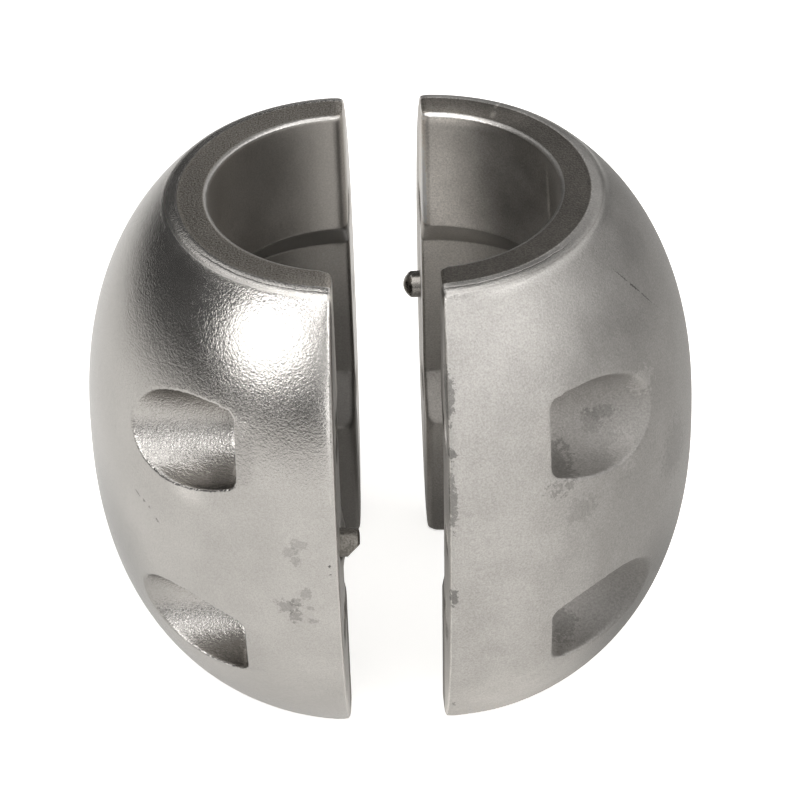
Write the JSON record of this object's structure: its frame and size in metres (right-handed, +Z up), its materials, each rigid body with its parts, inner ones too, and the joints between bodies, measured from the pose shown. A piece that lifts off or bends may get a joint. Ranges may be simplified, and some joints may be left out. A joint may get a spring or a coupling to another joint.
{
  "type": "shaft anode",
  "caption": "Barrel-shaped sacrificial zinc collar in two halves that bolt round a propeller shaft, with a relieved bore, pocketed bolt holes and locating pins.",
  "frame": {"origin": "middle of the pair's base, on the floor between the two halves", "axes": "+X from the left half to the right half, +Y to the rear, +Z up along the shaft"},
  "size_m": [0.1502, 0.1299, 0.132],
  "materials": {
    "cast_zinc": "as cast, grey and grainy, with brighter patches",
    "pin_steel": "dark smooth steel"
  },
  "bodies": {
    "root": {"left_half": "cast_zinc", "right_half": "cast_zinc", "left_locating_pin": "pin_steel", "right_locating_pin": "pin_steel"}
  },
  "joints": []
}
